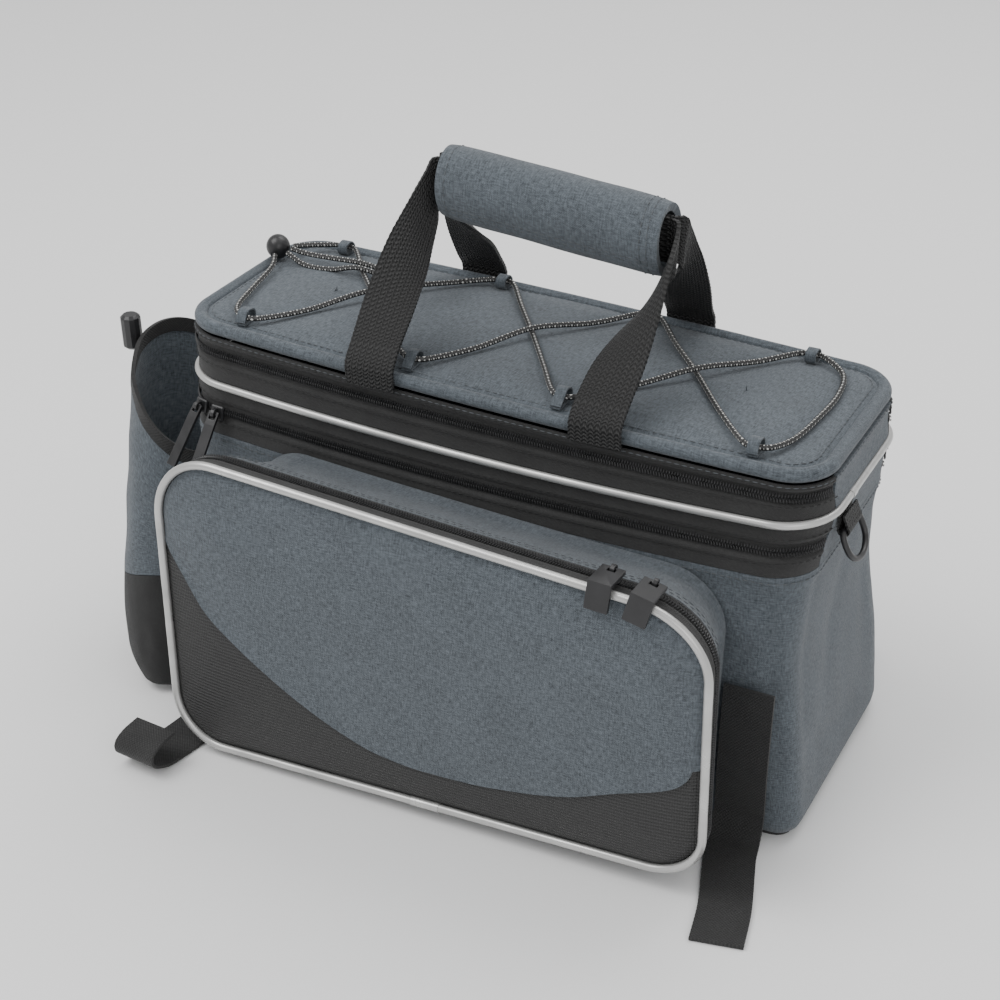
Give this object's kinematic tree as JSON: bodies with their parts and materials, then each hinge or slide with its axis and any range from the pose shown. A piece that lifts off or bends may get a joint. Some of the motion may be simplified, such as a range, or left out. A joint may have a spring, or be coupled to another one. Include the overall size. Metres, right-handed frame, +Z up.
{
  "type": "bicycle trunk bag",
  "caption": "Padded box bag for a bicycle rack with a zipped lid, carry handle, elastic lacing, front pocket, leaning bottle pocket and rack straps.",
  "frame": {"origin": "centre of the underside of the base, where the bag sits on a rack", "axes": "+X towards the end with the ring, -Y towards the front pocket, +Z up"},
  "size_m": [0.4723, 0.2949, 0.3229],
  "materials": {
    "grey_cloth": "heather grey woven polyester",
    "black_cloth": "black woven nylon",
    "black_webbing": "coarse black webbing",
    "black_plastic": "moulded black plastic",
    "silver_piping": "reflective silver piping",
    "zip_coil": "black coil zip",
    "elastic_cord": "black elastic cord with white flecks",
    "base_board": "black coated base"
  },
  "bodies": {
    "bag": {"base_panel": "base_board", "body_shell": "grey_cloth", "bottle_pocket_binding": "black_cloth", "bottle_pocket_lower": "black_cloth", "bottle_pocket_toggle": "black_plastic", "bottle_pocket_upper": "grey_cloth", "bungee_cord": "elastic_cord", "bungee_tail_1": "elastic_cord", "bungee_tail_2": "elastic_cord", "cord_lock": "black_plastic", "cord_loop_back_1": "grey_cloth", "cord_loop_back_2": "grey_cloth", "cord_loop_back_3": "grey_cloth", "cord_loop_back_4": "grey_cloth", "cord_loop_front_1": "grey_cloth", "cord_loop_front_2": "grey_cloth", "cord_loop_front_3": "grey_cloth", "cord_loop_front_4": "grey_cloth", "handle_grip": "grey_cloth", "handle_strap_back": "black_webbing", "handle_strap_front": "black_webbing", "lid_hem": "grey_cloth", "lid_panel": "grey_cloth", "lid_piping": "silver_piping", "lower_end_band": "grey_cloth", "lower_slider_1": "black_plastic", "lower_slider_2": "black_plastic", "lower_zip_band": "black_cloth", "lower_zip_coil": "zip_coil", "pocket_face_lower": "black_cloth", "pocket_face_upper": "grey_cloth", "pocket_gusset": "grey_cloth", "pocket_piping": "silver_piping", "pocket_slider_1": "black_plastic", "pocket_slider_2": "black_plastic", "pocket_zip_band": "black_cloth", "pocket_zip_coil": "zip_coil", "rack_strap_back_left": "black_webbing", "rack_strap_back_right": "black_webbing", "rack_strap_front_left": "black_webbing", "rack_strap_front_right": "black_webbing", "ring_tab": "black_webbing", "upper_end_band": "grey_cloth", "upper_slider": "black_plastic", "upper_zip_band": "black_cloth", "upper_zip_coil": "zip_coil"},
    "lower_pull_1": {"lower_pull_1": "black_plastic"},
    "lower_pull_2": {"lower_pull_2": "black_plastic"},
    "pocket_pull_1": {"pocket_pull_1": "black_plastic"},
    "pocket_pull_2": {"pocket_pull_2": "black_plastic"},
    "d_ring": {"d_ring": "black_plastic"}
  },
  "joints": [
    {"name": "lower_pull_1_hinge", "type": "hinge", "parent": "bag", "child": "lower_pull_1", "pos_m": [-0.17398, -0.07486, 0.17513], "axis": [0.9696, -0.2376, -0.0577], "range_deg": [-110, 12]},
    {"name": "lower_pull_2_hinge", "type": "hinge", "parent": "bag", "child": "lower_pull_2", "pos_m": [-0.16111, -0.07763, 0.17444], "axis": [0.9979, -0.0382, -0.053], "range_deg": [-110, 12]},
    {"name": "pocket_pull_1_hinge", "type": "hinge", "parent": "bag", "child": "pocket_pull_1", "pos_m": [0.11028, -0.13483, 0.17727], "axis": [0.998, 0.0056, -0.0635], "range_deg": [-110, 0]},
    {"name": "pocket_pull_2_hinge", "type": "hinge", "parent": "bag", "child": "pocket_pull_2", "pos_m": [0.13205, -0.13471, 0.17517], "axis": [0.9717, 0.0062, -0.2363], "range_deg": [-110, 0]},
    {"name": "d_ring_hinge", "type": "hinge", "parent": "bag", "child": "d_ring", "pos_m": [0.19389, -0.03, 0.16864], "axis": [0, 1, 0], "range_deg": [-95, 15]}
  ]
}
